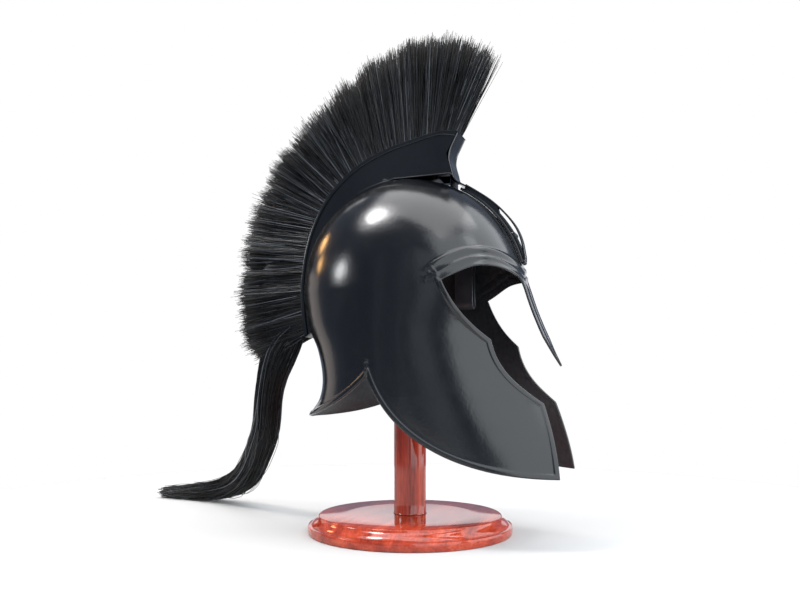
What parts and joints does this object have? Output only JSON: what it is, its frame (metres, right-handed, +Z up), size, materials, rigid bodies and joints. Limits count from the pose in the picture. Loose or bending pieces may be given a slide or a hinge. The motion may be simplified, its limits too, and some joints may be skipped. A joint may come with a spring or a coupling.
{
  "type": "crested greek helmet on a wooden stand",
  "caption": "Black-painted ancient Greek style crested helmet with cheek plates, nasal and hair plume with a long tail, standing on a turned wooden post and round base.",
  "frame": {"origin": "centre of the underside of the stand's round base", "axes": "+Z up, -Y the way the helmet faces, +Y back along the plume and its tail, +X to the wearer's left"},
  "size_m": [0.2213, 0.5422, 0.4899],
  "materials": {
    "painted_steel": "deep gloss black paint over hammered sheet metal, with slight waves and a clear coat",
    "plume_hair": "stiff black horsehair, satin sheen along the strands, brownish grey at the frayed tail end",
    "strap_leather": "matt black leather with a fine grain and pressed edges",
    "stand_wood": "turned wood, red-brown stain under high gloss lacquer"
  },
  "bodies": {
    "root": {"helmet_shell": "painted_steel", "crest_holder": "painted_steel", "forehead_strip": "painted_steel", "plume_brush": "plume_hair", "plume_tail": "plume_hair", "liner_strap_left": "strap_leather", "liner_strap_right": "strap_leather", "stand_base": "stand_wood", "stand_post": "stand_wood"}
  },
  "joints": []
}
